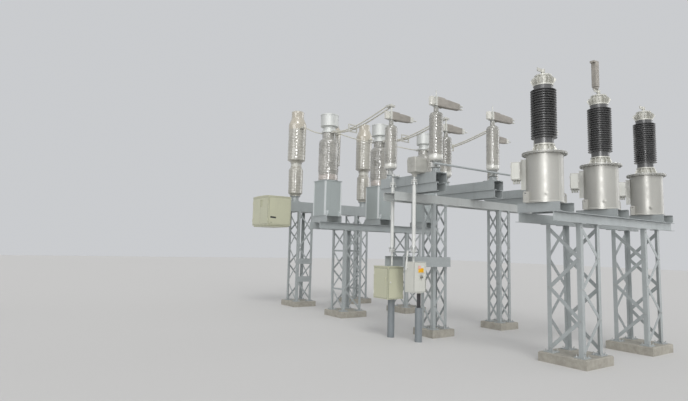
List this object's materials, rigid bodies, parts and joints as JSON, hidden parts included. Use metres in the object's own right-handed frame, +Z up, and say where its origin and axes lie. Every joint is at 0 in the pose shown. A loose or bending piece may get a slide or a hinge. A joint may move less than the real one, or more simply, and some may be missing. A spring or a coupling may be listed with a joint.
{
  "type": "substation switchgear bay",
  "caption": "High-voltage switchgear bay on lattice towers: voltage transformers, an open centre-break disconnector, current transformers and a live-tank breaker, part wrapped.",
  "frame": {"origin": "on the ground at the centre of the bay's outline", "axes": "+X across the phases, +Y along the bay from the voltage transformers to the breaker, +Z up"},
  "size_m": [4.863, 9.6304, 5.92],
  "materials": {
    "concrete": "rough cast concrete",
    "galvanised": "hot-dip galvanised, dull",
    "bright_channel": "new galvanised channel",
    "tank_paint": "satin light grey paint",
    "ct_paint": "satin blue grey paint",
    "head_paint": "satin light grey paint",
    "casting": "cast aluminium",
    "composite": "silicone rubber sheds",
    "porcelain": "brown grey glaze",
    "film_clear": "crinkled clear packing film",
    "film_beige": "opaque beige packing film",
    "wrap_grey": "wrapped in packing material",
    "box_grey": "powder coat",
    "cabinet_cream": "cream powder coat",
    "drive_white": "white paint",
    "riser_grey": "grey pipe",
    "knob_yellow": "moulded plastic",
    "cable_black": "cable sheath",
    "conductor": "stranded aluminium"
  },
  "bodies": {
    "root": {"plinths": "concrete", "vt_towers": "galvanised", "ds_towers": "galvanised", "ct_towers": "galvanised", "cb_towers": "galvanised", "vt_beams": "galvanised", "vt_cross_channels": "galvanised", "vt_tanks": "tank_paint", "vt_castings": "casting", "vt_bushings": "composite", "vt_terminals": "casting", "vt_wrapped_post": "wrap_grey", "vt_boxes": "box_grey", "ds_rails": "bright_channel", "ds_pole_bases": "galvanised", "ds_bearings": "galvanised", "ds_brackets": "galvanised", "ds_gear_box": "wrap_grey", "ds_motor_box": "cabinet_cream", "ds_hand_box": "box_grey", "ds_hand_knob": "knob_yellow", "ds_box_cables": "cable_black", "ds_risers": "riser_grey", "ct_beams": "galvanised", "ct_cross_channels": "galvanised", "ct_tanks": "ct_paint", "ct_porcelains": "porcelain", "ct_heads": "head_paint", "ct_film": "film_clear", "cb_face_plates": "galvanised", "cb_beam": "galvanised", "cb_feet": "galvanised", "cb_porcelains": "porcelain", "cb_castings": "casting", "cb_film": "film_beige", "cb_cabinet": "cabinet_cream", "twin_clamps": "casting", "twin_wires": "conductor", "twin_spacers": "casting", "single_clamps": "casting", "single_wires": "conductor"},
    "post_near_1": {"post_near_1": "porcelain", "arm_near_1": "wrap_grey"},
    "post_near_2": {"post_near_2": "porcelain", "arm_near_2": "wrap_grey"},
    "post_near_3": {"post_near_3": "porcelain", "arm_near_3": "wrap_grey"},
    "post_far_1": {"post_far_1": "porcelain", "arm_far_1": "wrap_grey"},
    "post_far_2": {"post_far_2": "porcelain", "arm_far_2": "wrap_grey"},
    "post_far_3": {"post_far_3": "porcelain", "arm_far_3": "wrap_grey"},
    "main_drive": {"main_drive_tube": "drive_white"},
    "second_drive": {"second_drive_tube": "drive_white"},
    "phase_coupling": {"phase_rod": "galvanised"}
  },
  "joints": [
    {"name": "post_near_1_turn", "type": "hinge", "parent": "root", "child": "post_near_1", "pos_m": [-1.7035, -2.13775, 3.347], "axis": [0, 0, 1], "range_deg": [0, 90]},
    {"name": "post_near_2_turn", "type": "hinge", "parent": "root", "child": "post_near_2", "pos_m": [-0.0035, -2.13775, 3.347], "axis": [0, 0, 1], "range_deg": [0, 90]},
    {"name": "post_near_3_turn", "type": "hinge", "parent": "root", "child": "post_near_3", "pos_m": [1.6965, -2.13775, 3.347], "axis": [0, 0, 1], "range_deg": [0, 90]},
    {"name": "post_far_1_turn", "type": "hinge", "parent": "root", "child": "post_far_1", "pos_m": [-1.7035, -0.75775, 3.347], "axis": [0, 0, -1], "range_deg": [0, 90]},
    {"name": "post_far_2_turn", "type": "hinge", "parent": "root", "child": "post_far_2", "pos_m": [-0.0035, -0.75775, 3.347], "axis": [0, 0, -1], "range_deg": [0, 90]},
    {"name": "post_far_3_turn", "type": "hinge", "parent": "root", "child": "post_far_3", "pos_m": [1.6965, -0.75775, 3.347], "axis": [0, 0, -1], "range_deg": [0, 90]},
    {"name": "main_drive_turn", "type": "hinge", "parent": "root", "child": "main_drive", "pos_m": [-2.0035, -1.85275, 1.61], "axis": [0, 0, 1], "range_deg": [0, 90]},
    {"name": "second_drive_turn", "type": "hinge", "parent": "root", "child": "second_drive", "pos_m": [-2.0035, -1.20525, 1.61], "axis": [0, 0, 1], "range_deg": [0, 90]},
    {"name": "phase_coupling_pin", "type": "hinge", "parent": "post_near_2", "child": "phase_coupling", "pos_m": [-0.14492, -2.27917, 3.381], "axis": [0, 0, -1], "range_deg": [0, 90]}
  ],
  "couplings": [
    {"joint": "post_near_1_turn", "follows": "post_near_2_turn", "ratio": 1},
    {"joint": "post_near_3_turn", "follows": "post_near_2_turn", "ratio": 1},
    {"joint": "post_far_1_turn", "follows": "post_near_2_turn", "ratio": 1},
    {"joint": "post_far_2_turn", "follows": "post_near_2_turn", "ratio": 1},
    {"joint": "post_far_3_turn", "follows": "post_near_2_turn", "ratio": 1},
    {"joint": "main_drive_turn", "follows": "post_near_2_turn", "ratio": 1},
    {"joint": "phase_coupling_pin", "follows": "post_near_2_turn", "ratio": 1}
  ]
}
